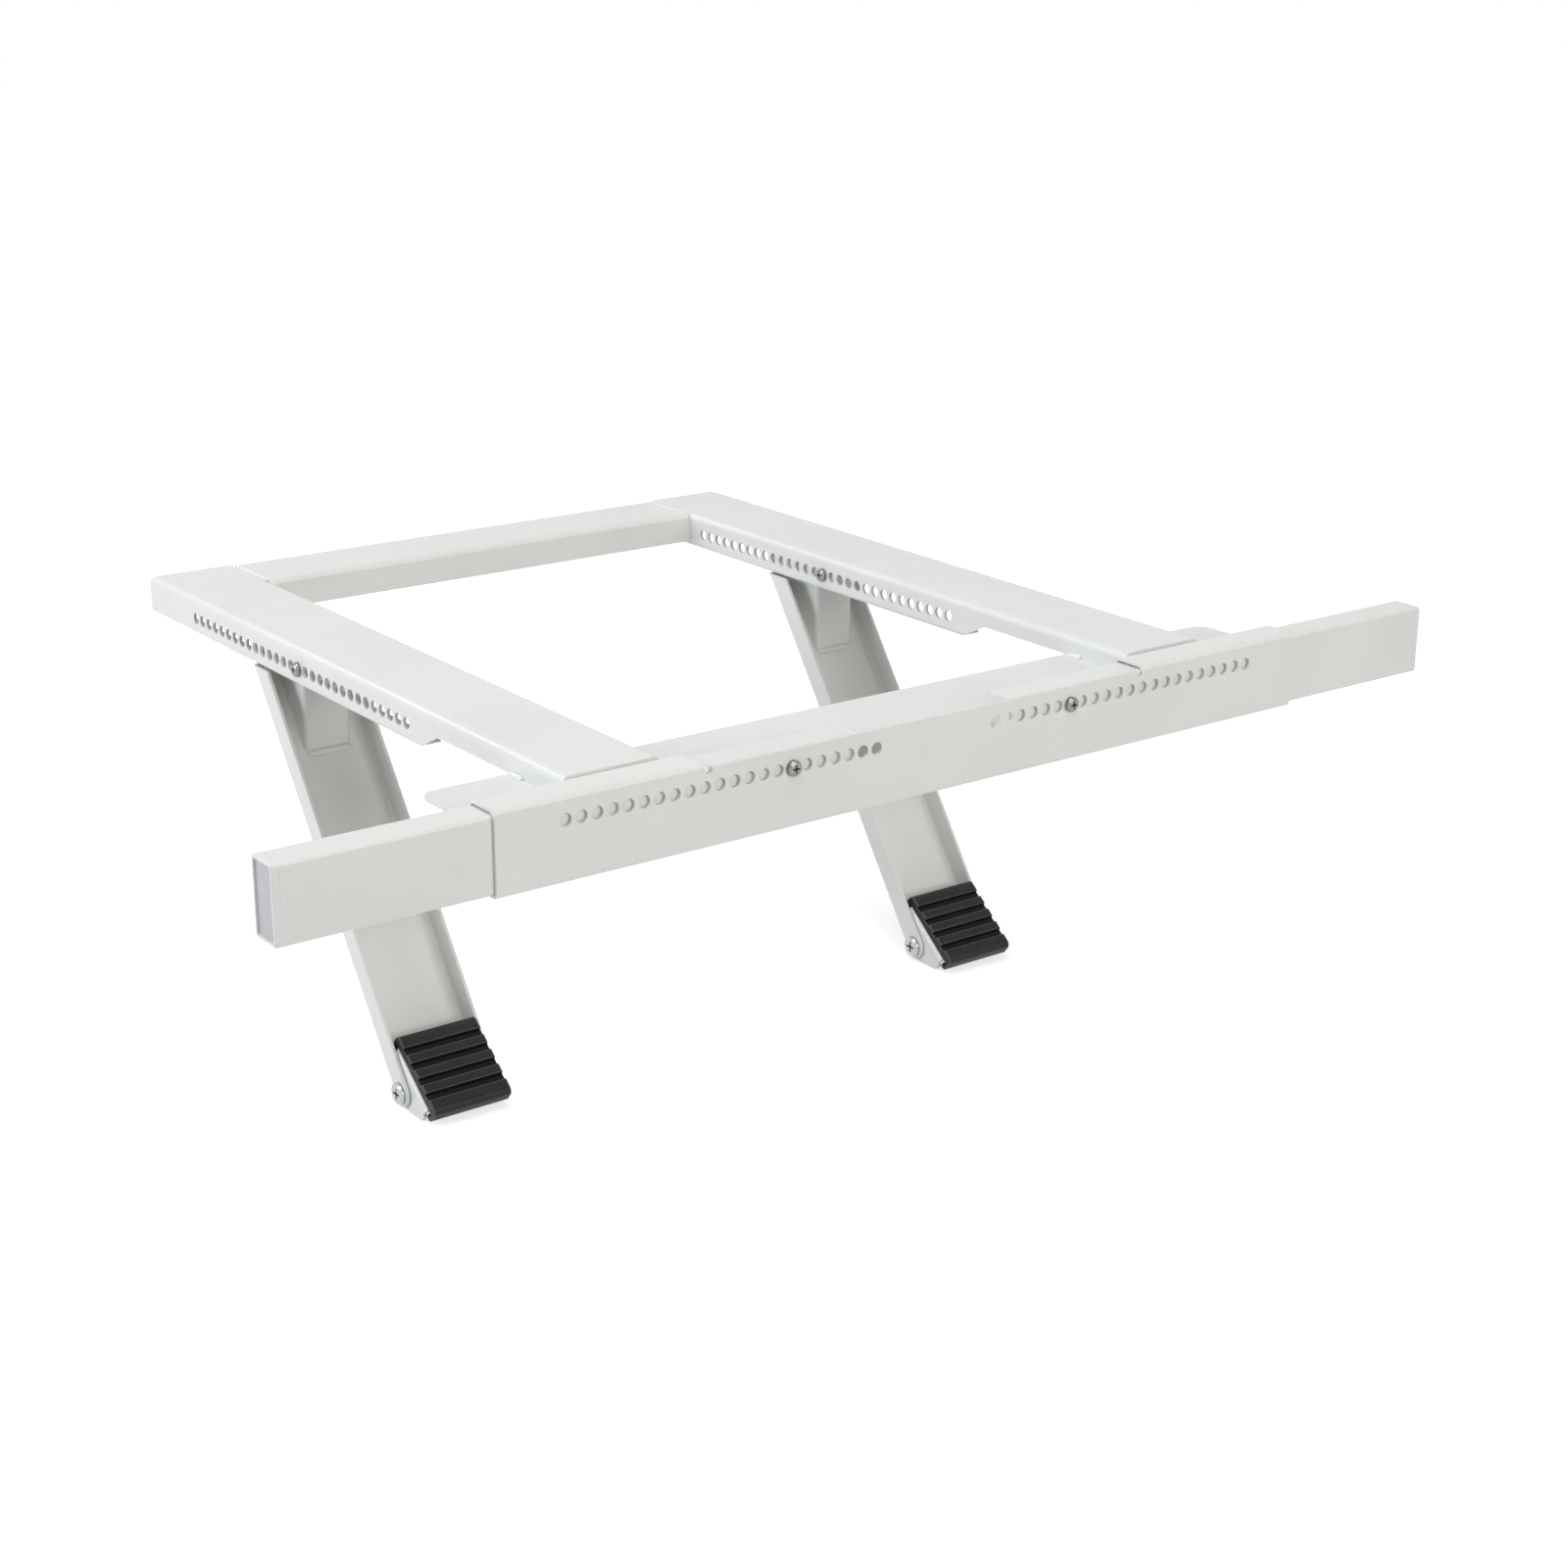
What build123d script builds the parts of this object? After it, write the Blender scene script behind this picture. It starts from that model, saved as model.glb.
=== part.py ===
# Bracket that carries a window air conditioner, in millimetres.
# Origin at the middle of the shelf's underside, the face that rests on the window sill.
# +X runs along the crossbar, +Y points outdoors, +Z is up.
from build123d import *
import math
import os

os.makedirs("parts", exist_ok=True)

# Index holes, the same in the crossbar and in the rails
hole_pitch = 25.4 / 3
hole_dia = 6.4

# Extension tubes and their end caps
tube_length = 304.8
tube_height = 38.1
tube_depth = 19.05
tube_wall = 1.5
tube_corner = 1.8
tube_hole_inset = 38.1
cap_flange = 3.5
cap_recess = 1.0
cap_rim = 1.7
cap_plug = 14.0
cap_wall = 2.0
cap_gap = 0.15

# Crossbar: one folded sheet, a sleeve for the tubes with the shelf along its back
bar_length = 505.0
bar_sheet = 1.5
bar_bend = 1.3
bar_play = 0.9
tab_length = 112.5
tab_bend = 3.5
tab_lip = 8.0
relief_width = 4.5
relief_depth = 5.5
bar_hole_count = 22
bar_hole_inset = 36.7
bar_hole_drop = 11.5
tube_index_hole = 16
shelf_depth = 47.0
shelf_drop = 11.0
shelf_corner = 9.0

# Support rails: lipped channels, shallow where they rest on the shelf
rail_length = 454.0
rail_width = 54.0
rail_depth = 21.0
rail_sheet = 1.8
rail_top_bend = 2.4
rail_lip_bend = 1.2
rail_lip = 12.0
rail_inset = 49.5
rail_seam = 0.4
rail_shallow = 115.0
rail_slope = 20.0
rail_slope_radius = 5.0
rail_lip_start = 139.0
rail_rear_radius = 3.0
rail_hole_count = 30
rail_hole_inset = 62.0
rail_hole_drop = 11.5
arm_index_hole = 16

# Rear cross rail between the two support rails
cross_depth = 47.0
cross_height = 18.0
cross_sheet = 1.8
cross_bend = 1.4

# Arm slider inside each rail, and the stub that carries the arm under it
slider_length = 70.0
slider_front = 12.6
slider_sheet = 1.8
slider_bend = 1.4
slider_gap = 0.5
stub_width = 28.0
stub_sheet = 1.8
stub_bend = 1.0
stub_front = 22.7

# Arms: channels that lean in to the wall, web outdoors
arm_angle = 35.0
arm_length = 246.6
arm_depth = 15.3
arm_sheet = 1.8
arm_bend = 1.7
arm_gap = 1.0
arm_back = 57.0
arm_web_start = 20.0

# Feet: folded brackets with rubber pads, turning on the pivot bolts
foot_tilt = 51.5
foot_side_gap = 0.5
foot_sheet = 1.8
foot_bend = 1.0
foot_drop = 0.6
plate_height = 45.2
plate_face = 13.7
ear_height = 40.4
ear_end_radius = 9.0
ear_tail = 4.2
ear_corner = 2.0
ear_notch = 1.0
pad_height = 49.6
pad_inset = 1.3
pad_base = 4.0
pad_rib = 1.5
pad_rib_count = 5
pad_rib_pitch = 9.5
pad_rib_edge = 0.5
pad_groove = 3.8
pad_nose = 3.4
pad_lip = 2.6
pad_lip_height = 4.4
pad_lip_gap = 0.4

# Screws, bolts and nuts
screw_dia = 4.0
screw_length = 10.0
screw_head_dia = 8.0
screw_head_height = 2.9
screw_clearance = 0.25
nut_width = 7.0
nut_height = 3.2
bolt_dia = 6.0
bolt_head_dia = 12.4
bolt_head_height = 2.4
bolt_seat_gap = 0.15
bolt_running_gap = 0.05
bolt_tail = 0.8
lock_nut_width = 10.0
lock_nut_height = 3.2
thread_gap = 0.04

# Weld beads
bead_radius = 2.0
shelf_bead_length = 14.0
shelf_bead_inset = 3.0

# Cutters reach this far past the faces that they cut
margin = 1.0

# Heights and depths that follow from the sizes above
bar_height = tube_height + 2 * bar_sheet + bar_play
bar_depth = tube_depth + 2 * bar_sheet + bar_play
shelf_top = bar_sheet
top_z = shelf_top + shelf_drop
bar_bottom = top_z - bar_height
shelf_rear = shelf_depth / 2
bar_back = -shelf_depth / 2
bar_front = bar_back - bar_depth
tube_front = bar_front + bar_sheet + bar_play / 2
rail_x = bar_length / 2 - rail_inset - rail_width / 2
rail_front = bar_back + rail_seam
rail_rear = rail_front + rail_length
rail_bottom = top_z - rail_depth
index_y = rail_rear - rail_hole_inset - (arm_index_hole - 1) * hole_pitch
index_z = top_z - rail_hole_drop
tube_index_x = bar_length / 2 - bar_hole_inset - (tube_index_hole - 1) * hole_pitch
lean = math.radians(arm_angle)
arm_top = rail_bottom - arm_gap
arm_back_y = index_y + arm_back
pivot_y = arm_back_y - arm_depth / 2 / math.cos(lean) - arm_length * math.sin(lean)
pivot_z = arm_top - arm_length * math.cos(lean)
sides = {"left": -1, "right": 1}


def folded(points, sheet, radii):
    """Cross section of a folded sheet: points follow one face, and the sheet lies to their left."""
    face_line = FilletPolyline(*points, radius=radii)
    return make_face(face_line.offset_2d(sheet, side=Side.LEFT))


def rounded_tube(width, height, corner, wall, length):
    """Rectangular tube along Z, standing on the XY plane."""
    outer = RectangleRounded(width, height, corner)
    inner = RectangleRounded(width - 2 * wall, height - 2 * wall, max(corner - wall, 0.5))
    return extrude(outer - inner, length)


def pan_screw(dia, length, head_dia, head_height):
    """Cross-recessed pan head screw, head up, underside of the head on the XY plane."""
    head = extrude(Circle(head_dia / 2), head_height)
    head = fillet(head.edges().group_by(Axis.Z)[-1], head_height * 0.55)
    slot = extrude(Rectangle(head_dia * 0.5, head_dia * 0.1), -head_height * 0.6, taper=8)
    recess = Pos(0, 0, head_height) * (slot + Rot(0, 0, 90) * slot)
    shank = extrude(Circle(dia / 2), -length)
    shank = chamfer(shank.edges().group_by(Axis.Z)[0], dia * 0.12)
    return head - recess + shank


def hex_nut(width, height, bore_dia):
    """Hex nut standing on the XY plane, its top corners chamfered."""
    body = extrude(RegularPolygon(width / 2, 6, major_radius=False), height)
    corner_dia = width / math.cos(math.pi / 6)
    blank = extrude(Circle(corner_dia / 2), height)
    blank = chamfer(blank.edges().group_by(Axis.Z)[-1], (corner_dia - width) / 2)
    return body & blank - extrude(Circle(bore_dia / 2), height)


def bead(start, end, radius):
    """Round weld bead from start to end, before the pieces it joins are taken out of it."""
    axis = Vector(*end) - Vector(*start)
    line = Plane(origin=start, z_dir=tuple(axis))
    rod = line * extrude(Circle(radius), axis.length)
    return fillet(rod.edges(), radius * 0.6)


def crossbar_sleeve():
    """Front wall, bottom, back wall and shelf in one fold, with a tab over the tubes at each end."""
    wall_top = top_z - bar_sheet - bar_play / 2
    bend = bar_bend + bar_sheet
    open_face = folded(
        [
            (bar_front, wall_top),
            (bar_front, bar_bottom),
            (bar_back, bar_bottom),
            (bar_back, shelf_top - bar_sheet),
            (shelf_rear, shelf_top - bar_sheet),
        ],
        bar_sheet,
        [bend, bend, bar_bend],
    )
    tab_face = folded(
        [
            (bar_back, top_z - tab_lip),
            (bar_back, top_z),
            (bar_front, top_z),
            (bar_front, top_z - relief_depth - margin),
        ],
        bar_sheet,
        [tab_bend + bar_sheet, tab_bend + bar_sheet],
    )
    sleeve = Plane.YZ.offset(-bar_length / 2) * extrude(open_face, bar_length)
    sleeve = fillet(sleeve.edges().filter_by(Axis.Z).group_by(Axis.Y)[-1], shelf_corner)
    for side in sides.values():
        tab = Plane.YZ.offset(side * (bar_length - tab_length) / 2 - tab_length / 2)
        sleeve += tab * extrude(tab_face, tab_length)
        relief_x = side * (bar_length / 2 - tab_length - relief_width / 2)
        relief = SlotCenterToCenter(2 * relief_depth - relief_width, relief_width, rotation=90)
        wall_plane = Plane.XZ.offset(-bar_front - bar_sheet - margin / 4)
        sleeve -= extrude(wall_plane * Pos(relief_x, top_z) * relief, bar_sheet + margin / 2)
        row = [
            Pos(side * (bar_length / 2 - bar_hole_inset - i * hole_pitch), top_z - bar_hole_drop)
            for i in range(bar_hole_count)
        ]
        holes = [wall_plane * place * Circle(hole_dia / 2) for place in row]
        sleeve -= [extrude(hole, bar_sheet + margin / 2) for hole in holes]
    return sleeve


def extension_tube(side):
    """Rectangular tube in the middle of the sleeve's play, held by its index screw."""
    tube = rounded_tube(tube_depth, tube_height, tube_corner, tube_wall, tube_length)
    tube = tube_end(side) * tube
    hole = Plane.XZ.offset(-bar_front) * Pos(side * tube_index_x, top_z - bar_hole_drop)
    cutter = extrude(hole * Circle(screw_dia / 2 + screw_clearance), -tube_depth / 2)
    return tube - cutter


def tube_end(side):
    """Frame at the tube's outer end: X across the bar to outdoors, Z along the tube to its inner end."""
    outer_end = tube_index_x - tube_hole_inset + tube_length
    centre_y = tube_front + tube_depth / 2
    centre_z = bar_bottom + bar_sheet + tube_height / 2
    origin = (side * outer_end, centre_y, centre_z)
    return Plane(origin=origin, x_dir=(0, 1, 0), z_dir=(-side, 0, 0)).location


def end_cap(side):
    """Plastic cap: a rimmed flange over the tube's end and a hollow plug inside it."""
    flange = extrude(RectangleRounded(tube_depth, tube_height, tube_corner), -cap_flange)
    dish = RectangleRounded(tube_depth - 2 * cap_rim, tube_height - 2 * cap_rim, tube_corner * 0.6)
    flange = chamfer(flange.edges().group_by(Axis.Z)[0], 0.6)
    flange -= Pos(0, 0, -cap_flange) * extrude(dish, cap_recess)
    plug_play = 2 * (tube_wall + cap_gap)
    plug = rounded_tube(
        tube_depth - plug_play, tube_height - plug_play, tube_corner - tube_wall, cap_wall, cap_plug
    )
    return tube_end(side) * (flange + plug)


def support_rail(side):
    """Lipped channel, its flanges cut back to rest on the shelf, index holes on its left flange."""
    half = rail_width / 2
    section = folded(
        [
            (half - rail_lip, rail_bottom),
            (half, rail_bottom),
            (half, top_z),
            (-half, top_z),
            (-half, rail_bottom),
            (rail_lip - half, rail_bottom),
        ],
        rail_sheet,
        [
            rail_lip_bend + rail_sheet,
            rail_top_bend + rail_sheet,
            rail_top_bend + rail_sheet,
            rail_lip_bend + rail_sheet,
        ],
    )
    rail = Plane.XZ.offset(-rail_rear) * extrude(section, rail_length)
    outline = FilletPolyline(
        (rail_front, top_z),
        (rail_front, shelf_top),
        (rail_front + rail_shallow, shelf_top),
        (rail_front + rail_shallow + rail_slope, rail_bottom),
        (rail_rear, rail_bottom),
        (rail_rear, top_z),
        radius=[0, 0, rail_slope_radius, rail_slope_radius, rail_rear_radius, 0],
        close=True,
    )
    rail &= Plane.YZ.offset(-half) * extrude(make_face(outline), rail_width)
    lip_cut = Rectangle(rail_width - 2 * rail_lip, 2 * rail_lip, align=(Align.CENTER, Align.CENTER))
    lip_cut = Pos(0, rail_front + rail_lip_start) * lip_cut
    lip_cut += Pos(0, rail_front + rail_lip_start - rail_lip) * Rectangle(
        rail_width - 2 * rail_sheet - 2 * rail_lip_bend, rail_lip
    )
    rail -= Pos(0, 0, rail_bottom - margin) * extrude(lip_cut, rail_sheet + margin)
    for i in range(rail_hole_count):
        hole_y = rail_rear - rail_hole_inset - i * hole_pitch
        hole = Plane.YZ.offset(-half - margin) * Pos(hole_y, index_z) * Circle(hole_dia / 2)
        rail -= extrude(hole, rail_sheet + 2 * margin)
    return Pos(side * rail_x, 0, 0) * rail


def rear_cross_rail():
    """Inverted channel between the rails at their outdoor end."""
    length = 2 * rail_x - rail_width
    section = folded(
        [
            (rail_rear, top_z - cross_height),
            (rail_rear, top_z),
            (rail_rear - cross_depth, top_z),
            (rail_rear - cross_depth, top_z - cross_height),
        ],
        cross_sheet,
        [cross_bend + cross_sheet, cross_bend + cross_sheet],
    )
    return Plane.YZ.offset(-length / 2) * extrude(section, length)


def arm_slider(side):
    """Inverted channel that runs inside the rail, clamped there by the arm's index screw."""
    inside = rail_width - 2 * rail_sheet
    half = inside / 2 - slider_gap
    high = top_z - rail_sheet - slider_gap
    low = rail_bottom + rail_sheet + slider_gap
    section = folded(
        [(half, low), (half, high), (-half, high), (-half, low)],
        slider_sheet,
        [slider_bend + slider_sheet, slider_bend + slider_sheet],
    )
    rear = index_y - slider_front + slider_length
    slider = Plane.XZ.offset(-rear) * extrude(section, slider_length)
    hole = Circle(screw_dia / 2 + screw_clearance)
    hole = Plane.YZ.offset(-half - margin) * Pos(index_y, index_z) * hole
    slider -= extrude(hole, slider_sheet + 2 * margin)
    return Pos(side * rail_x, 0, 0) * slider


def arm_frame(side):
    """Arm's own frame: origin on the pivot, Z up along the arm, Y towards its web."""
    up = (0, math.sin(lean), math.cos(lean))
    return Plane(origin=(side * rail_x, pivot_y, pivot_z), x_dir=(1, 0, 0), z_dir=up)


def arm(side):
    """Channel cut level under the rail, its flanges rounded about the pivot."""
    half = rail_width / 2
    section = folded(
        [
            (half, -arm_depth / 2),
            (half, arm_depth / 2),
            (-half, arm_depth / 2),
            (-half, -arm_depth / 2),
        ],
        arm_sheet,
        [arm_bend + arm_sheet, arm_bend + arm_sheet],
    )
    reach = arm_length + arm_depth
    channel = Pos(0, 0, -arm_depth / 2) * extrude(section, reach + arm_depth / 2)
    outline = Pos(0, reach / 2) * Rectangle(arm_depth, reach) + Circle(arm_depth / 2)
    side_block = Plane.YZ.offset(-half) * extrude(outline, rail_width)
    channel &= side_block
    inner = rail_width - 2 * arm_sheet
    web_cut = Pos(0, arm_depth / 2, arm_web_start / 2 - arm_depth / 2)
    channel -= web_cut * Box(inner, 2 * (arm_sheet + arm_bend), arm_web_start + arm_depth)
    bolt_hole = Plane.YZ.offset(-rail_width) * Circle(bolt_dia / 2 + bolt_seat_gap)
    channel -= extrude(bolt_hole, 2 * rail_width)
    placed = arm_frame(side).location * channel
    above = Pos(side * rail_x, arm_back_y, arm_top) * Box(
        2 * rail_width, 4 * arm_depth, 4 * arm_depth, align=(Align.CENTER, Align.CENTER, Align.MIN)
    )
    return placed - above


def arm_stub(side):
    """Open-backed channel from the slider down to a mitre on the arm's web."""
    half = stub_width / 2
    front = index_y + stub_front
    web_inner = arm_back_y - arm_sheet / math.cos(lean)
    roof = top_z - rail_sheet - slider_gap - slider_sheet
    drop = (web_inner - front) / math.tan(lean)
    section = folded(
        [(-half, web_inner), (-half, front), (half, front), (half, web_inner)],
        stub_sheet,
        [stub_bend + stub_sheet, stub_bend + stub_sheet],
    )
    stub = Pos(0, 0, arm_top - drop) * extrude(section, roof - arm_top + drop)
    outline = make_face(
        Polyline(
            (front, roof), (web_inner, roof), (web_inner, arm_top), (front, arm_top - drop), close=True
        )
    )
    stub &= Plane.YZ.offset(-half) * extrude(outline, stub_width)
    return Pos(side * rail_x, 0, 0) * stub


def foot_location(side):
    """Foot's own frame: origin on the pivot, pad facing -Y before the tilt."""
    return Pos(side * rail_x, pivot_y, pivot_z) * Rot(-foot_tilt, 0, 0)


def foot_bracket(side):
    """Face plate between the pad's lips, with an ear folded back on each side to the pivot."""
    half = rail_width / 2 - arm_sheet - foot_side_gap
    section = folded(
        [(-half, ear_end_radius), (-half, -plate_face), (half, -plate_face), (half, ear_end_radius)],
        foot_sheet,
        [foot_bend + foot_sheet, foot_bend + foot_sheet],
    )
    channel = Pos(0, 0, -foot_drop - ear_height / 2) * extrude(section, ear_height)
    ear_top = ear_height / 2 - foot_drop
    ear_low = -ear_height / 2 - foot_drop
    ear_lines = Polyline((-ear_tail, ear_low), (-plate_face, ear_low), (-plate_face, ear_top)).edges()
    profile = make_hull(ear_lines + Circle(ear_end_radius).edges())
    tip = profile.vertices().sort_by_distance((-ear_tail, ear_low))[0]
    profile = fillet(tip, ear_corner)
    notch_back = -plate_face + foot_sheet + pad_lip_gap + pad_lip + ear_notch / 2
    notch = Rectangle(2 * (notch_back + plate_face), 2 * ear_notch)
    profile -= Pos(-plate_face, ear_low) * notch
    bracket = channel & (Plane.YZ.offset(-half) * extrude(profile, 2 * half))
    tongue = Box(2 * (half - foot_bend - foot_sheet), foot_sheet, plate_height)
    bracket += Pos(0, foot_sheet / 2 - plate_face, -foot_drop) * tongue
    hole = Plane.YZ.offset(-rail_width) * Circle(bolt_dia / 2 + bolt_running_gap)
    bracket -= extrude(hole, 2 * rail_width)
    return foot_location(side) * bracket


def foot_pad(side):
    """Ribbed rubber pad whose lips hook over the face plate's top and bottom edges."""
    width = rail_width - 2 * (arm_sheet + foot_side_gap + pad_inset)
    pad_face = plate_face + pad_base + pad_rib
    lip_back = -plate_face + foot_sheet + pad_lip_gap + pad_lip
    depth = pad_face + lip_back
    outer = Pos((lip_back - pad_face) / 2, 0) * Rectangle(depth, pad_height)
    outer = fillet(outer.vertices().group_by(Axis.X)[0], pad_nose)
    outer = fillet(outer.vertices().group_by(Axis.X)[-1], pad_lip)
    hollow_depth = lip_back + plate_face + margin
    hollow = Rectangle(hollow_depth, pad_height - 2 * pad_lip_height, align=(Align.MIN, Align.CENTER))
    slot = Rectangle(foot_sheet + pad_lip_gap, plate_height + pad_lip_gap, align=(Align.MIN, Align.CENTER))
    profile = outer - Pos(-plate_face, 0) * (hollow + slot)
    for i in range(pad_rib_count - 1):
        groove_z = (i - (pad_rib_count - 2) / 2) * pad_rib_pitch
        profile -= Pos(-pad_face, groove_z) * Rectangle(2 * pad_rib, pad_groove)
    rib_edges = profile.vertices().group_by(Axis.X)[0].sort_by(Axis.Y)[1:-1]
    profile = fillet(rib_edges, pad_rib_edge)
    pad = Plane.YZ.offset(-width / 2) * extrude(profile, width)
    return foot_location(side) * Pos(0, 0, -foot_drop) * pad


def crossbar_screw(side):
    """Index screw through the sleeve's front wall into the tube."""
    screw = pan_screw(screw_dia, screw_length, screw_head_dia, screw_head_height)
    return Pos(side * tube_index_x, bar_front, top_z - bar_hole_drop) * Rot(90, 0, 0) * screw


def crossbar_nut(side):
    """Nut inside the tube, behind its front wall."""
    nut = hex_nut(nut_width, nut_height, screw_dia + 2 * thread_gap)
    seat = tube_front + tube_wall
    return Pos(side * tube_index_x, seat, top_z - bar_hole_drop) * Rot(-90, 0, 0) * nut


def arm_screw(side):
    """Index screw through the rail's left flange into the slider."""
    screw = pan_screw(screw_dia, screw_length, screw_head_dia, screw_head_height)
    return Pos(side * rail_x - rail_width / 2, index_y, index_z) * Rot(0, -90, 0) * screw


def arm_nut(side):
    """Nut inside the slider's left flange."""
    nut = hex_nut(nut_width, nut_height, screw_dia + 2 * thread_gap)
    seat = side * rail_x - rail_width / 2 + rail_sheet + slider_gap + slider_sheet
    return Pos(seat, index_y, index_z) * Rot(0, 90, 0) * nut


def pivot_bolt(side):
    """Bolt through the arm's flanges and the foot's ears."""
    length = rail_width + lock_nut_height + bolt_tail
    bolt = pan_screw(bolt_dia, length, bolt_head_dia, bolt_head_height)
    return Pos(side * rail_x - rail_width / 2, pivot_y, pivot_z) * Rot(0, -90, 0) * bolt


def pivot_nut(side):
    """Lock nut on the bolt's far end, outside the arm's flange."""
    nut = hex_nut(lock_nut_width, lock_nut_height, bolt_dia + 2 * thread_gap)
    return Pos(side * rail_x + rail_width / 2, pivot_y, pivot_z) * Rot(0, 90, 0) * nut


def frame_welds(sleeve, rails, cross):
    """Beads at the rails' feet on the shelf and at the rear cross rail's ends."""
    beads = []
    for side in sides.values():
        for flange in sides.values():
            foot_x = side * rail_x + flange * rail_width / 2
            rear = shelf_rear - shelf_bead_inset
            start = (foot_x, rear - shelf_bead_length, shelf_top)
            beads.append(bead(start, (foot_x, rear, shelf_top), bead_radius))
        end_x = side * (rail_x - rail_width / 2 + bead_radius * 0.4)
        start = (end_x, rail_rear - cross_depth + cross_bend + cross_sheet, top_z - bead_radius * 0.5)
        beads.append(bead(start, (end_x, rail_rear - bead_radius, top_z - bead_radius * 0.5), bead_radius))
    pieces = [sleeve, cross] + rails
    return Compound(children=[(b - pieces).solids().sort_by(SortBy.VOLUME)[-1] for b in beads])


def arm_weld(side, the_arm, the_stub):
    """Bead across the foot of the stub on the arm's web."""
    front = index_y + stub_front
    web_inner = arm_back_y - arm_sheet / math.cos(lean)
    foot_z = arm_top - (web_inner - front) / math.tan(lean)
    half = stub_width / 2
    x = side * rail_x
    rod = bead((x - half, front, foot_z), (x + half, front, foot_z), bead_radius)
    return (rod - [the_arm, the_stub]).solids().sort_by(SortBy.VOLUME)[-1]


sleeve = crossbar_sleeve()
rails = {name: support_rail(side) for name, side in sides.items()}
cross = rear_cross_rail()
nodes = {"crossbar_sleeve": sleeve, "rear_cross_rail": cross}
nodes["frame_welds"] = frame_welds(sleeve, list(rails.values()), cross)
for name, side in sides.items():
    the_arm = arm(side)
    the_stub = arm_stub(side)
    nodes[name + "_support_rail"] = rails[name]
    nodes[name + "_extension_tube"] = extension_tube(side)
    nodes[name + "_end_cap"] = end_cap(side)
    nodes[name + "_crossbar_screw"] = crossbar_screw(side)
    nodes[name + "_crossbar_nut"] = crossbar_nut(side)
    nodes[name + "_arm_slider"] = arm_slider(side)
    nodes[name + "_arm_stub"] = the_stub
    nodes[name + "_arm"] = the_arm
    nodes[name + "_arm_weld"] = arm_weld(side, the_arm, the_stub)
    nodes[name + "_arm_screw"] = arm_screw(side)
    nodes[name + "_arm_nut"] = arm_nut(side)
    nodes[name + "_foot_bracket"] = foot_bracket(side)
    nodes[name + "_foot_pad"] = foot_pad(side)
    nodes[name + "_pivot_bolt"] = pivot_bolt(side)
    nodes[name + "_pivot_nut"] = pivot_nut(side)

for name, shape in nodes.items():
    export_step(shape, "parts/" + name + ".step")
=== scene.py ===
"""Window air conditioner bracket: materials, welds, plugs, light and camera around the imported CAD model."""

import math
import random

import bmesh
import bpy
from mathutils import Matrix, Vector


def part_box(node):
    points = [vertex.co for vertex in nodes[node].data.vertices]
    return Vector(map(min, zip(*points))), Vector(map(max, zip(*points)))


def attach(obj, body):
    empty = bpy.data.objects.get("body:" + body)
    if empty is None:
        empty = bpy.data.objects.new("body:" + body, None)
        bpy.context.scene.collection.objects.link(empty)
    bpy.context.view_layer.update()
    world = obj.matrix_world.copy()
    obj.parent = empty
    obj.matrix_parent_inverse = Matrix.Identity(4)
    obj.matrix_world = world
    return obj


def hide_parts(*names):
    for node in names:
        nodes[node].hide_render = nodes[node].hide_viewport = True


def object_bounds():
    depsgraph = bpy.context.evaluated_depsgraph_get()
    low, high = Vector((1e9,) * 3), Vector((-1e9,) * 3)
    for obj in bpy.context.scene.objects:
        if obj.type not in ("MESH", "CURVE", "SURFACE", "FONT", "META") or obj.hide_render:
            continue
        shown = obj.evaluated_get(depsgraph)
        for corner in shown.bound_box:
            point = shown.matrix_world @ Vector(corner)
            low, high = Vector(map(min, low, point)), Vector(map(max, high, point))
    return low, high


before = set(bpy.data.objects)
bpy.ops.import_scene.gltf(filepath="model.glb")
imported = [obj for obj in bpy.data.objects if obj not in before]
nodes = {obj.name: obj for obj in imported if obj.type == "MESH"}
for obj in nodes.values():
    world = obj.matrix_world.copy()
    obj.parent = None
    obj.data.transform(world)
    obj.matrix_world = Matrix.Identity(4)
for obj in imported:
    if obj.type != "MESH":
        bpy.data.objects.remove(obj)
cad_low, cad_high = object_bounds()

# Camera: fitted to the photograph, in metres and degrees in the row frame
camera_place = (-0.80432, -1.00104, 0.39665)
camera_azimuth = 36.65
camera_elevation = 18.7
camera_roll = 0.26
camera_lens = 60.77
camera_sensor = 36.0
camera_near = 0.05
camera_far = 20.0

# Colours, as they look on screen (sRGB, 0 to 1)
coat_colour = (0.905, 0.91, 0.895)
coat_shade = (0.885, 0.892, 0.878)
rubber_colour = (0.085, 0.085, 0.08)
cap_colour = (0.905, 0.905, 0.905)
cap_face_colour = (0.775, 0.77, 0.785)
plug_colour = (0.955, 0.958, 0.95)
plate_colour = (0.58, 0.57, 0.555)
zinc_colour = (0.74, 0.75, 0.76)

# Round that sheet and moulded edges show, in metres
sheet_round = 0.0003
rubber_round = 0.0005

# The end cap's recessed face lies inside this distance from the middle, in metres
cap_face_reach = 0.3586

# A face counts as facing outward when this much of its normal is along X
outward_least = 0.9

# Plug in each tube's inner end, in metres, and the steps round each of its corners
plug_flange = 0.0018
plug_body = 0.009
plug_inset = 0.0017
tube_corner = 0.0018
corner_steps = 5

# Weld bead's section and length steps, in metres and counts
bead_radius = 0.0022
bead_step = 0.00022
bead_fewest_steps = 8
bead_fan = 10
bead_sink = 0.0004
bead_end_power = 8
merge_distance = 0.000001

# Wander of the bead's width: mean share, share and radians per metre of two waves, largest phase
wander_mean = 0.97
slow_wander = 0.05
slow_rate = 420.0
quick_wander = 0.03
quick_rate = 1100.0
drift_most = 6.0

# Ripples along the bead: pitch and lag of their middle in metres, share of the radius
ripple_pitch = 0.0015
ripple_lag = 0.0009
ripple_depth = 0.012

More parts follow.
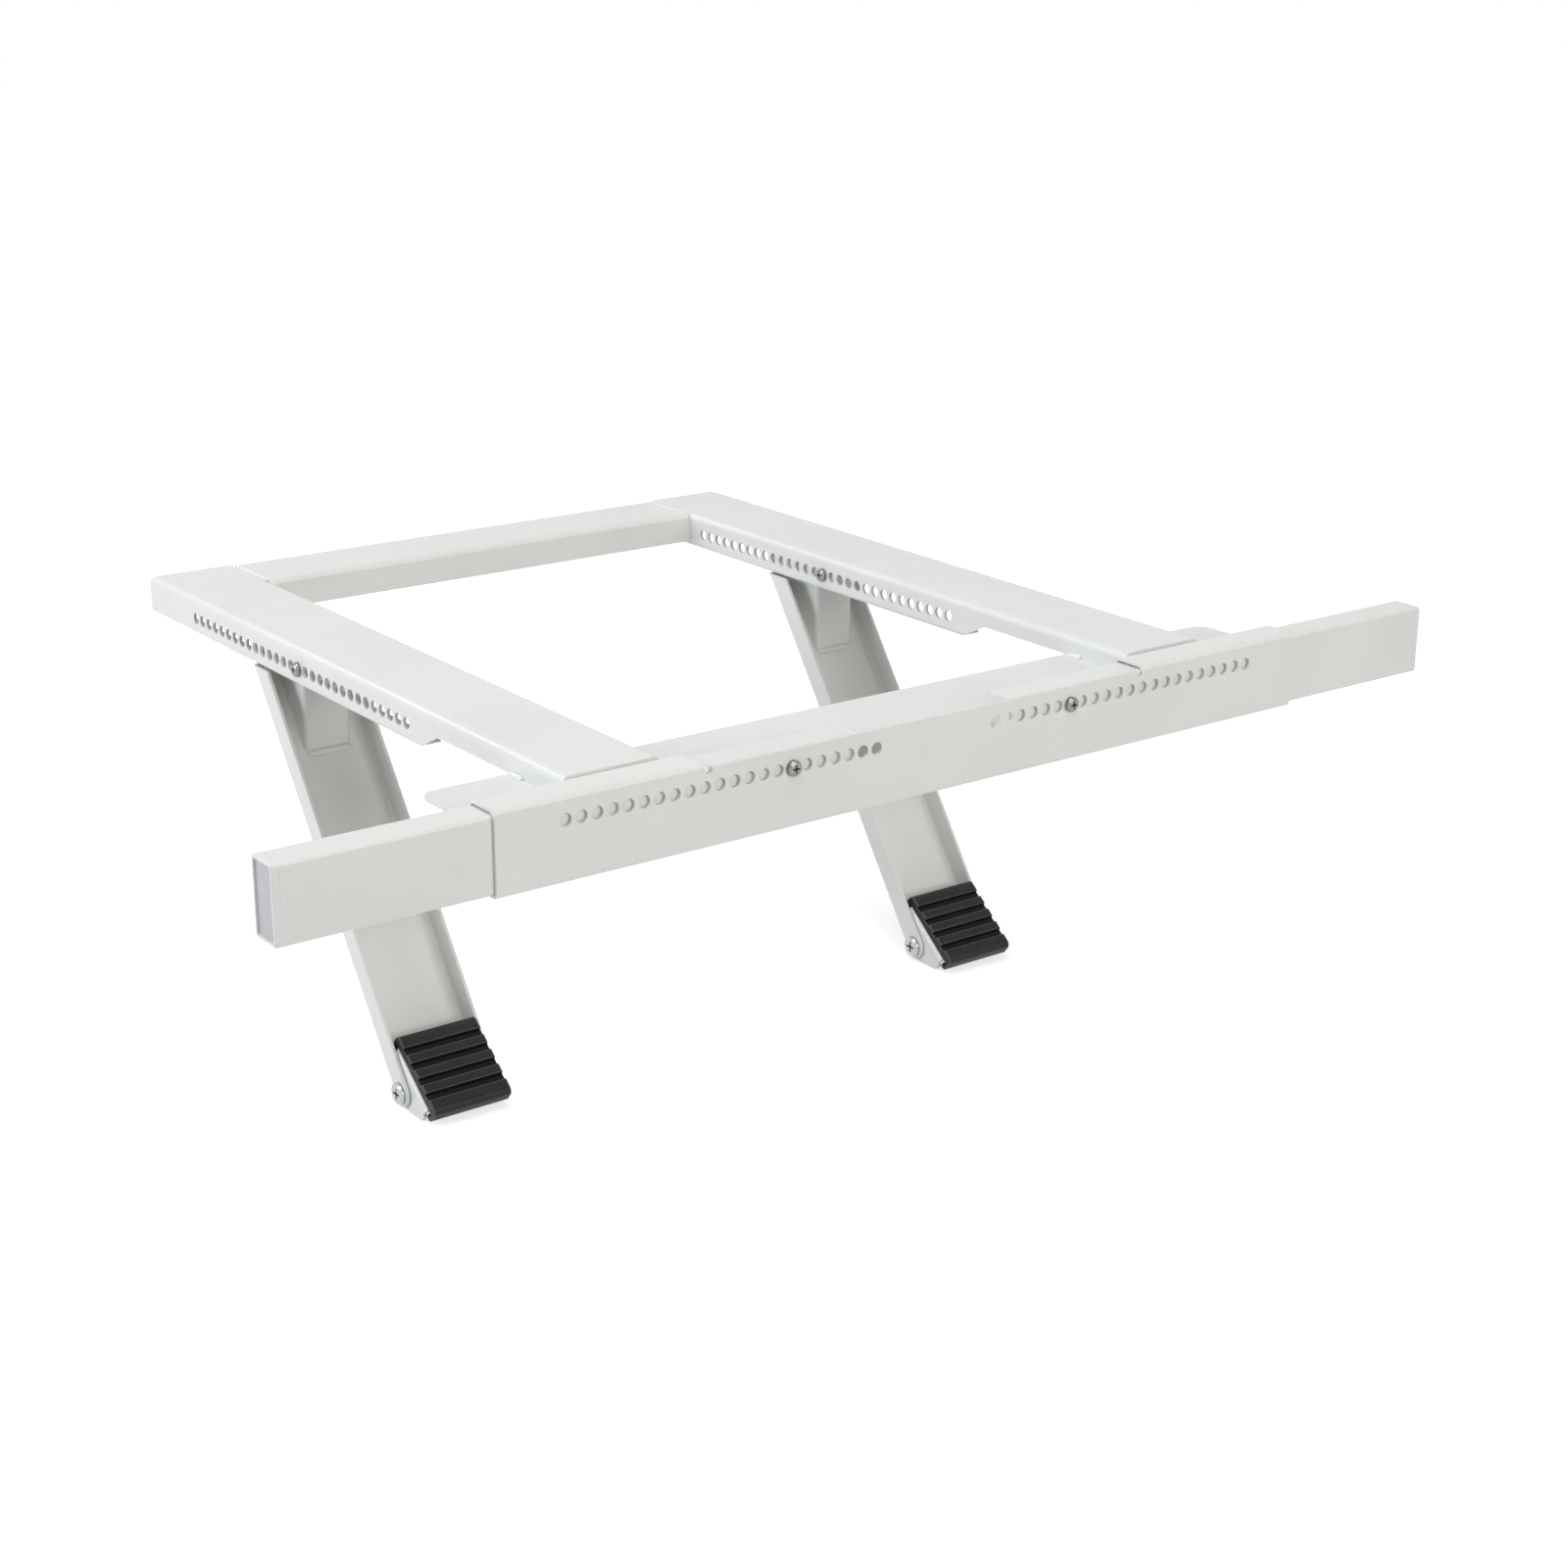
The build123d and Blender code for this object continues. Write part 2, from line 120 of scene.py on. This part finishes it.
# Beads at the rails' feet, on the shelf: height, and distances in front of the shelf's rear edge
shelf_top = 0.0015
rail_bead_start = 0.013
rail_bead_end = 0.002
rail_sweep = 90.0

# Beads at the rear corners: set in from the joint and the cross rail's top and sides
corner_bead_in = 0.0004
corner_bead_drop = 0.00135
corner_bead_start = 0.004
corner_bead_end = 0.003
corner_sweep = 180.0

# Beads under the stubs, a little shorter than the plain ones
stub_bead_inset = 0.0005
stub_sweep = 145.0

# World: strength for the light that bounces about, and as seen
world_light = 0.14
world_seen = 1.0

# Floor: half its width and its gap under the part in metres, its grey, and its glow from near to far
floor_half = 6.0
floor_gap = 0.0005
floor_grey = 0.7
glow_start = 0.5
glow_full = 2.0
glow_near = 0.64
glow_far = 0.98

# Places of the colour sockets on a mix node, whose names repeat
mix_first = 6
mix_second = 7
mix_result = 2


def linear(colour):
    """Screen colour to the linear colour that shader sockets take."""
    def one(c):
        return c / 12.92 if c <= 0.04045 else ((c + 0.055) / 1.055) ** 2.4

    return tuple(one(c) for c in colour) + (1.0,)


def scaled(colour, share):
    """Darker or paler colour of the same hue."""
    return tuple(c * share for c in colour)


class Graph:
    """A material's node tree, with short ways to add and join nodes."""

    def __init__(self, name):
        self.material = bpy.data.materials.new(name)
        self.material.use_nodes = True
        self.tree = self.material.node_tree
        self.shader = self.tree.nodes["Principled BSDF"]
        texture_place = self.add("ShaderNodeTexCoord")
        self.place = texture_place.outputs["Object"]
        self.facing = texture_place.outputs["Normal"]

    def add(self, kind, **values):
        node = self.tree.nodes.new(kind)
        for key, value in values.items():
            setattr(node, key, value)
        return node

    def join(self, source, target):
        self.tree.links.new(source, target)

    def noise(self, scale, detail=2.0, roughness=0.5, stretch=None):
        """Noise in object space, scale in features per metre."""
        node = self.add("ShaderNodeTexNoise")
        node.inputs["Scale"].default_value = scale
        node.inputs["Detail"].default_value = detail
        node.inputs["Roughness"].default_value = roughness
        place = self.place
        if stretch:
            mapping = self.add("ShaderNodeMapping")
            mapping.inputs["Scale"].default_value = stretch
            self.join(place, mapping.inputs["Vector"])
            place = mapping.outputs["Vector"]
        self.join(place, node.inputs["Vector"])
        return node.outputs["Fac"]

    def set_colour(self, socket, colour):
        """Plain colour put on the socket, or another node's colour joined to it."""
        if isinstance(colour, tuple):
            socket.default_value = linear(colour)
        else:
            self.join(colour, socket)

    def spread(self, value, low, high, first=0.0, second=1.0):
        """Value between low and high turned into a number from first to second."""
        node = self.add("ShaderNodeMapRange")
        for name, number in (("From Min", low), ("From Max", high), ("To Min", first), ("To Max", second)):
            node.inputs[name].default_value = number
        self.join(value, node.inputs["Value"])
        return node.outputs["Result"]

    def uneven(self, noise, first, second):
        """Most of a noise's range turned into a number from first to second."""
        return self.spread(noise, low=0.3, high=0.7, first=first, second=second)

    def blend(self, factor, first, second):
        """First colour where the factor is 0, second where it is 1."""
        mix = self.add("ShaderNodeMix", data_type="RGBA")
        self.join(factor, mix.inputs["Factor"])
        self.set_colour(mix.inputs[mix_first], first)
        self.set_colour(mix.inputs[mix_second], second)
        return mix.outputs[mix_result]

    def ramp(self, value, low, high, first, second):
        """Value between low and high turned into a blend of two colours."""
        return self.blend(self.spread(value, low, high), first, second)

    def soft_edges(self, radius):
        """Normal that rounds sharp edges by that radius in metres."""
        node = self.add("ShaderNodeBevel", samples=6)
        node.inputs["Radius"].default_value = radius
        return node.outputs["Normal"]

    def calculate(self, operation, value):
        """Math node of that kind, with its first value joined."""
        node = self.add("ShaderNodeMath", operation=operation)
        self.join(value, node.inputs[0])
        return node

    def size_of(self, vector, axis):
        """Absolute value of one part of a vector."""
        parts = self.add("ShaderNodeSeparateXYZ")
        self.join(vector, parts.inputs[0])
        return self.calculate("ABSOLUTE", parts.outputs[axis]).outputs[0]

    def above(self, value, limit):
        """1 where the value is above the limit, 0 elsewhere."""
        node = self.calculate("GREATER_THAN", value)
        node.inputs[1].default_value = limit
        return node.outputs[0]

    def occlusion(self, reach, low, high, inside):
        """0 where the surface is open, 1 where faces are near on that side, up to reach in metres."""
        node = self.add("ShaderNodeAmbientOcclusion", samples=8, only_local=True, inside=inside)
        node.inputs["Distance"].default_value = reach
        return self.spread(node.outputs["AO"], high, low)

    def hollows(self, reach, low, high):
        """0 on open faces and 1 in grooves and corners."""
        return self.occlusion(reach, low, high, inside=False)

    def edges(self, reach, low, high):
        """0 on open faces and 1 along outer edges, looking through the solid."""
        return self.occlusion(reach, low, high, inside=True)

    def bump(self, height, distance, strength, under=None):
        """Bump of that depth in metres, over an earlier bump."""
        node = self.add("ShaderNodeBump")
        node.inputs["Distance"].default_value = distance
        node.inputs["Strength"].default_value = strength
        self.join(height, node.inputs["Height"])
        if under:
            self.join(under, node.inputs["Normal"])
        return node.outputs["Normal"]

    def finish(self, colour, roughness, normal):
        """The material, with its colour, roughness and normal joined to the shader."""
        self.set_colour(self.shader.inputs["Base Color"], colour)
        self.join(roughness, self.shader.inputs["Roughness"])
        self.join(normal, self.shader.inputs["Normal"])
        return self.material


def powder_coat():
    """White powder coat: fine orange peel, slow waves of the sheet, slightly uneven colour."""
    g = Graph("white_powder_coat")
    clouds = g.noise(scale=14.0, detail=3.0)
    colour = g.ramp(clouds, low=0.35, high=0.65, first=coat_shade, second=coat_colour)
    peel = g.noise(scale=900.0, detail=2.0)
    waves = g.noise(scale=30.0, detail=1.0)
    normal = g.bump(peel, distance=0.00006, strength=0.3, under=g.soft_edges(sheet_round))
    normal = g.bump(waves, distance=0.0006, strength=0.1, under=normal)
    g.shader.inputs["Coat Weight"].default_value = 0.35
    g.shader.inputs["Coat Roughness"].default_value = 0.12
    return g.finish(colour, g.uneven(peel, first=0.3, second=0.42), normal)


def rubber():
    """Black moulded rubber: painted shade in the grooves, with less reflection there, a painted highlight of
    paler colour along the outer edges, streaks along the ribs, a leathery grain.
    """
    g = Graph("black_rubber")
    streaks = g.noise(scale=650.0, detail=4.0, stretch=(0.12, 1.0, 1.0))
    grain = g.noise(scale=1200.0, detail=4.0, roughness=0.7)
    blotches = g.noise(scale=230.0, detail=3.0, roughness=0.6, stretch=(0.45, 1.0, 1.0))
    deep = scaled(rubber_colour, 0.12)
    worn = scaled(rubber_colour, 2.3)
    edge_highlight_colour = scaled(rubber_colour, 3.8)
    colour = g.ramp(grain, low=0.38, high=0.68, first=deep, second=worn)
    colour = g.blend(g.spread(streaks, low=0.35, high=0.65, second=0.6), colour, rubber_colour)
    colour = g.blend(g.spread(blotches, low=0.48, high=0.66, second=0.65), colour, deep)
    # Painted highlight: the outer edges of the ribs are painted paler, as if they caught the light.
    colour = g.blend(g.edges(reach=0.0011, low=0.72, high=0.98), colour, edge_highlight_colour)
    # Painted shade: grooves and corners are painted darker, and the sheen below turns their reflection down.
    groove_shade = g.hollows(reach=0.006, low=0.84, high=0.97)
    colour = g.blend(groove_shade, colour, deep)
    normal = g.bump(streaks, distance=0.0002, strength=0.5, under=g.soft_edges(rubber_round))
    normal = g.bump(grain, distance=0.0002, strength=0.7, under=normal)
    sheen = g.spread(groove_shade, low=0.0, high=1.0, first=0.24, second=0.09)
    g.join(sheen, g.shader.inputs["Specular IOR Level"])
    return g.finish(colour, g.uneven(grain, first=0.32, second=0.5), normal)


def plastic_tone(g, colour, darkest):
    """That colour with faint clouds, down to the darkest share of it."""
    clouds = g.noise(scale=60.0, detail=2.0)
    return g.ramp(clouds, low=0.3, high=0.7, first=scaled(colour, darkest), second=colour)


def moulded(g, colour):
    """Material of that colour with the fine grain of moulded plastic."""
    grain = g.noise(scale=3000.0, detail=1.0)
    normal = g.bump(grain, distance=0.00004, strength=0.3, under=g.soft_edges(sheet_round))
    return g.finish(colour, g.uneven(grain, first=0.36, second=0.5), normal)


def cap_plastic():
    """Moulded plastic, pale on the cap's rim and sides, greyer on its recessed face."""
    g = Graph("grey_plastic")
    outward = g.above(g.size_of(g.facing, "X"), outward_least)
    on_rim = g.above(g.size_of(g.place, "X"), cap_face_reach)
    recessed = g.calculate("SUBTRACT", outward)
    recessed.use_clamp = True
    g.join(on_rim, recessed.inputs[1])
    face = plastic_tone(g, cap_face_colour, darkest=0.97)
    return moulded(g, g.blend(recessed.outputs[0], cap_colour, face))


def plug_plastic():
    """White moulded plastic of the plugs."""
    g = Graph("white_plastic")
    return moulded(g, plastic_tone(g, plug_colour, darkest=0.98))


def plated(name, tint, smooth, rough):
    """Plated steel: metal with faint smears, fine scratches and painted shade darkening its recesses."""
    g = Graph(name)
    smear = g.noise(scale=400.0, detail=4.0)
    colour = g.ramp(smear, low=0.35, high=0.7, first=scaled(tint, 0.9), second=tint)
    # Painted shade: recesses such as the cross slot are painted darker.
    colour = g.blend(g.hollows(reach=0.0012, low=0.3, high=0.85), colour, scaled(tint, 0.6))
    scratch = g.noise(scale=1500.0, detail=3.0, stretch=(1.0, 6.0, 1.0))
    normal = g.bump(scratch, distance=0.00003, strength=0.3)
    g.shader.inputs["Metallic"].default_value = 1.0
    return g.finish(colour, g.uneven(smear, first=smooth, second=rough), normal)


coat = powder_coat()
black_rubber = rubber()
grey_plastic = cap_plastic()
white_plastic = plug_plastic()
nickel = plated("nickel_plate", plate_colour, smooth=0.08, rough=0.17)
zinc = plated("zinc_plate", zinc_colour, smooth=0.16, rough=0.28)
finish_of = {
    "foot_pad": black_rubber,
    "end_cap": grey_plastic,
    "crossbar_screw": nickel,
    "arm_screw": nickel,
    "crossbar_nut": zinc,
    "arm_nut": zinc,
    "pivot_bolt": zinc,
    "pivot_nut": zinc,
}


def put(name, data):
    """New object of that data in the scene."""
    piece = bpy.data.objects.new(name, data)
    bpy.context.scene.collection.objects.link(piece)
    return piece


def solid_piece(name, bm, material):
    """Object made of the finished bmesh, its faces turned outwards."""
    bmesh.ops.recalc_face_normals(bm, faces=bm.faces)
    mesh = bpy.data.meshes.new(name)
    bm.to_mesh(mesh)
    bm.free()
    mesh.materials.append(material)
    return put(name, mesh)


def skin(bm, rings):
    """Quads from each ring of points to the next, and a face over both ends."""
    count = len(rings[0])
    for near, far in zip(rings, rings[1:]):
        for j in range(count):
            k = (j + 1) % count
            bm.faces.new((near[j], far[j], far[k], near[k]))
    bm.faces.new(rings[0])
    bm.faces.new(list(reversed(rings[-1])))


def dress_cad_nodes():
    """Every CAD node keeps its shape and gets its finish."""
    for name, node in nodes.items():
        piece = name.replace("left_", "").replace("right_", "")
        finish = finish_of.get(piece, coat)
        for slot in node.material_slots:
            slot.material = finish


def weld_bead(bm, chance, start, end, first, turn, sweep):
    """One rippled bead: its section fans from first towards turn by sweep degrees round the joint line."""
    start, end, first, turn = (Vector(v) for v in (start, end, first, turn))
    length = (end - start).length
    along = (end - start).normalized()
    half_sweep = math.radians(sweep) / 2.0
    inward = first * math.cos(half_sweep) + turn * math.sin(half_sweep)
    steps = max(int(length / bead_step), bead_fewest_steps)
    drift = chance.uniform(0.0, drift_most)
    rings = []
    for i in range(steps + 1):
        share = i / steps
        done = share * length
        spine = start + along * done
        taper = math.sqrt(max(1.0 - (2.0 * share - 1.0) ** bead_end_power, 0.0))
        slow = slow_wander * math.sin(done * slow_rate + drift)
        quick = quick_wander * math.sin(done * quick_rate + 2.0 * drift)
        wander = wander_mean + slow + quick
        ring = []
        for j in range(bead_fan + 1):
            angle = math.radians(sweep) * j / bead_fan
            lag = ripple_lag * math.sin(math.pi * j / bead_fan)
            wave = math.cos((done - lag) / ripple_pitch * 2.0 * math.pi)
            ripple = 1.0 - ripple_depth + ripple_depth * wave
            reach = bead_radius * taper * wander * ripple
            direction = first * math.cos(angle) + turn * math.sin(angle)
            ring.append(bm.verts.new(spine + direction * reach))
        ring.append(bm.verts.new(spine - inward * bead_sink * taper))
        rings.append(ring)
    skin(bm, rings)


def bead_piece(name, beads, seed, node):
    """One object of several beads, in place of the plain CAD bead."""
    chance = random.Random(seed)
    bm = bmesh.new()
    for bead in beads:
        weld_bead(bm, chance, *bead)
    bmesh.ops.remove_doubles(bm, verts=bm.verts, dist=merge_distance)
    piece = solid_piece(name, bm, coat)
    piece.data.shade_smooth()
    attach(piece, "bracket")
    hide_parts(node)


def make_welds():
    """Rippled beads at the rails' feet, at the rear corners and under each stub."""
    up = (0.0, 0.0, 1.0)
    indoors = (0.0, -1.0, 0.0)
    sleeve_low, sleeve_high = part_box("crossbar_sleeve")
    shelf_rear = sleeve_high[1]
    beads = []
    for rail in ("left_support_rail", "right_support_rail"):
        rail_low, rail_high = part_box(rail)
        for x, outward in ((rail_low[0], -1.0), (rail_high[0], 1.0)):
            start = (x, shelf_rear - rail_bead_start, shelf_top)
            end = (x, shelf_rear - rail_bead_end, shelf_top)
            beads.append((start, end, (outward, 0.0, 0.0), up, rail_sweep))
    cross_low, cross_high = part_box("rear_cross_rail")
    bead_z = cross_high[2] - corner_bead_drop
    for x, inward in ((cross_low[0], 1.0), (cross_high[0], -1.0)):
        bead_x = x + inward * corner_bead_in
        start = (bead_x, cross_low[1] + corner_bead_start, bead_z)
        end = (bead_x, cross_high[1] - corner_bead_end, bead_z)
        beads.append((start, end, (inward, 0.0, 0.0), up, corner_sweep))
    bead_piece("frame_weld_beads", beads, 3, "frame_welds")
    for side, seed in (("left", 5), ("right", 8)):
        stub_low, stub_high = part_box(side + "_arm_stub")
        weld_low, weld_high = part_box(side + "_arm_weld")
        start = (weld_low[0] + stub_bead_inset, stub_low[1], stub_low[2])
        end = (weld_high[0] - stub_bead_inset, stub_low[1], stub_low[2])
        beads = [(start, end, up, indoors, stub_sweep)]
        bead_piece(side + "_stub_weld_bead", beads, seed, side + "_arm_weld")


def rounded_block(bm, start, end, middle, half_depth, half_height, corner):
    """Solid along X from start to end, its rounded rectangular section round the middle (y, z)."""
    points = []
    for quarter, (y_side, z_side) in enumerate(((1, 1), (-1, 1), (-1, -1), (1, -1))):
        for i in range(corner_steps + 1):
            angle = math.radians(90.0 * (quarter + i / corner_steps))
            y = middle[0] + y_side * (half_depth - corner) + corner * math.cos(angle)
            z = middle[1] + z_side * (half_height - corner) + corner * math.sin(angle)
            points.append((y, z))
    near = [bm.verts.new((start, y, z)) for y, z in points]
    far = [bm.verts.new((end, y, z)) for y, z in points]
    skin(bm, [near, far])


def make_inner_plugs():
    """White plug in each tube's inner end: a flange as wide as the tube and a short body inside it."""
    for side, inward in (("left", 1.0), ("right", -1.0)):
        low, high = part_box(side + "_extension_tube")
        tube_end = high[0] if inward > 0.0 else low[0]
        middle = ((low[1] + high[1]) / 2.0, (low[2] + high[2]) / 2.0)
        half_depth = (high[1] - low[1]) / 2.0
        half_height = (high[2] - low[2]) / 2.0
        flange_end = tube_end + inward * plug_flange
        body_start = tube_end - inward * plug_body
        body_end = tube_end + inward * plug_flange / 2.0
        inner_depth = half_depth - plug_inset
        inner_height = half_height - plug_inset
        bm = bmesh.new()
        rounded_block(bm, tube_end, flange_end, middle, half_depth, half_height, tube_corner)
        rounded_block(bm, body_start, body_end, middle, inner_depth, inner_height, tube_corner / 2.0)
        piece = solid_piece(side + "_inner_plug", bm, white_plastic)
        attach(piece, "bracket")


def make_camera():
    """Camera at the photograph's place, turned by azimuth, elevation and roll."""
    data = bpy.data.cameras.new("photo_camera")
    data.lens = camera_lens
    data.sensor_width = camera_sensor
    data.clip_start = camera_near
    data.clip_end = camera_far
    camera = put("photo_camera", data)
    azimuth = math.radians(camera_azimuth)
    elevation = math.radians(camera_elevation)
    roll = math.radians(camera_roll)
    right = Vector((math.cos(azimuth), -math.sin(azimuth), 0.0))
    level = math.cos(elevation)
    ahead = Vector((math.sin(azimuth) * level, math.cos(azimuth) * level, -math.sin(elevation)))
    up = right.cross(ahead)
    turned_right = right * math.cos(roll) + up * math.sin(roll)
    turned_up = up * math.cos(roll) - right * math.sin(roll)
    turn = Matrix((turned_right, turned_up, -ahead)).transposed()
    camera.matrix_world = Matrix.Translation(camera_place) @ turn.to_4x4()
    bpy.context.scene.camera = camera


def seen_directly(tree):
    """1 for rays from the camera, a mirror or through glass, 0 for the light that bounces about."""
    path = tree.nodes.new("ShaderNodeLightPath")
    total = path.outputs["Is Camera Ray"]
    for name in ("Is Glossy Ray", "Is Transmission Ray"):
        node = tree.nodes.new("ShaderNodeMath")
        node.operation = "MAXIMUM"
        tree.links.new(total, node.inputs[0])
        tree.links.new(path.outputs[name], node.inputs[1])
        total = node.outputs[0]
    return total


def make_world():
    """Soft even light from all round, seen as plain white."""
    world = bpy.data.worlds.new("studio")
    bpy.context.scene.world = world
    world.use_nodes = True
    tree = world.node_tree
    background = tree.nodes["Background"]
    background.inputs["Color"].default_value = (1.0, 1.0, 1.0, 1.0)
    strength = tree.nodes.new("ShaderNodeMapRange")
    strength.inputs["To Min"].default_value = world_light
    strength.inputs["To Max"].default_value = world_seen
    tree.links.new(seen_directly(tree), strength.inputs["Value"])
    tree.links.new(strength.outputs["Result"], background.inputs["Strength"])


def floor_glow(tree):
    """Emission that lifts the floor to white as seen, more with distance from the middle."""
    place = tree.nodes.new("ShaderNodeTexCoord")
    distance = tree.nodes.new("ShaderNodeVectorMath")
    distance.operation = "LENGTH"
    tree.links.new(place.outputs["Object"], distance.inputs[0])
    fade = tree.nodes.new("ShaderNodeMapRange")
    fade.inputs["From Min"].default_value = glow_start
    fade.inputs["From Max"].default_value = glow_full
    fade.inputs["To Min"].default_value = glow_near
    fade.inputs["To Max"].default_value = glow_far
    tree.links.new(distance.outputs["Value"], fade.inputs["Value"])
    lift = tree.nodes.new("ShaderNodeMath")
    lift.operation = "MULTIPLY"
    tree.links.new(seen_directly(tree), lift.inputs[0])
    tree.links.new(fade.outputs["Result"], lift.inputs[1])
    glow = tree.nodes.new("ShaderNodeEmission")
    tree.links.new(lift.outputs[0], glow.inputs["Strength"])
    return glow.outputs[0]


def make_floor():
    """Plain white floor just under the lowest point, keeping the object's soft shadow."""
    mesh = bpy.data.meshes.new("floor")
    half = floor_half
    z = cad_low.z - floor_gap
    corners = [(-half, -half, z), (half, -half, z), (half, half, z), (-half, half, z)]
    mesh.from_pydata(corners, [], [(0, 1, 2, 3)])
    material = bpy.data.materials.new("floor_white")
    material.use_nodes = True
    tree = material.node_tree
    tree.nodes.remove(tree.nodes["Principled BSDF"])
    diffuse = tree.nodes.new("ShaderNodeBsdfDiffuse")
    diffuse.inputs["Color"].default_value = (floor_grey, floor_grey, floor_grey, 1.0)
    both = tree.nodes.new("ShaderNodeAddShader")
    tree.links.new(diffuse.outputs[0], both.inputs[0])
    tree.links.new(floor_glow(tree), both.inputs[1])
    tree.links.new(both.outputs[0], tree.nodes["Material Output"].inputs["Surface"])
    mesh.materials.append(material)
    floor = put("floor", mesh)


def area_light(name, place, target, size, power, colour=(1.0, 1.0, 1.0)):
    """Rectangular light of that size in metres and power in watts, turned to its target."""
    data = bpy.data.lights.new(name, "AREA")
    data.shape = "RECTANGLE"
    data.size, data.size_y = size
    data.energy = power
    data.color = colour
    light = put(name, data)
    light.location = place
    light.rotation_mode = "QUATERNION"
    light.rotation_quaternion = (Vector(target) - Vector(place)).to_track_quat("-Z", "Y")


def make_lights():
    """Softbox overhead, warm fill in front, weak box to its left, cool box on the left, strip behind."""
    frame_middle = (0.0, 0.15, 0.0)
    arms_middle = (0.0, 0.15, -0.05)
    rear_half = (0.0, 0.2, 0.0)
    pale_blue = (0.985, 0.992, 1.0)
    cool = (0.93, 0.965, 1.0)
    warm = (1.0, 0.995, 0.955)
    area_light("overhead", (-0.25, -0.05, 2.15), frame_middle, size=(1.4, 1.9), power=27.0, colour=pale_blue)
    area_light("front", (0.4, -2.3, 0.7), arms_middle, size=(1.9, 0.7), power=23.5, colour=warm)
    area_light("front_left", (-1.5, -1.5, 1.9), frame_middle, size=(1.1, 1.1), power=6.0)
    area_light("left", (-2.2, 0.9, 0.7), arms_middle, size=(1.0, 0.9), power=24.0, colour=cool)
    area_light("strip", (-0.9, 2.2, 1.4), rear_half, size=(1.6, 0.25), power=5.0)


make_camera()
dress_cad_nodes()
make_welds()
make_inner_plugs()
make_world()
make_floor()
make_lights()
bpy.context.scene.view_settings.view_transform = "Standard"
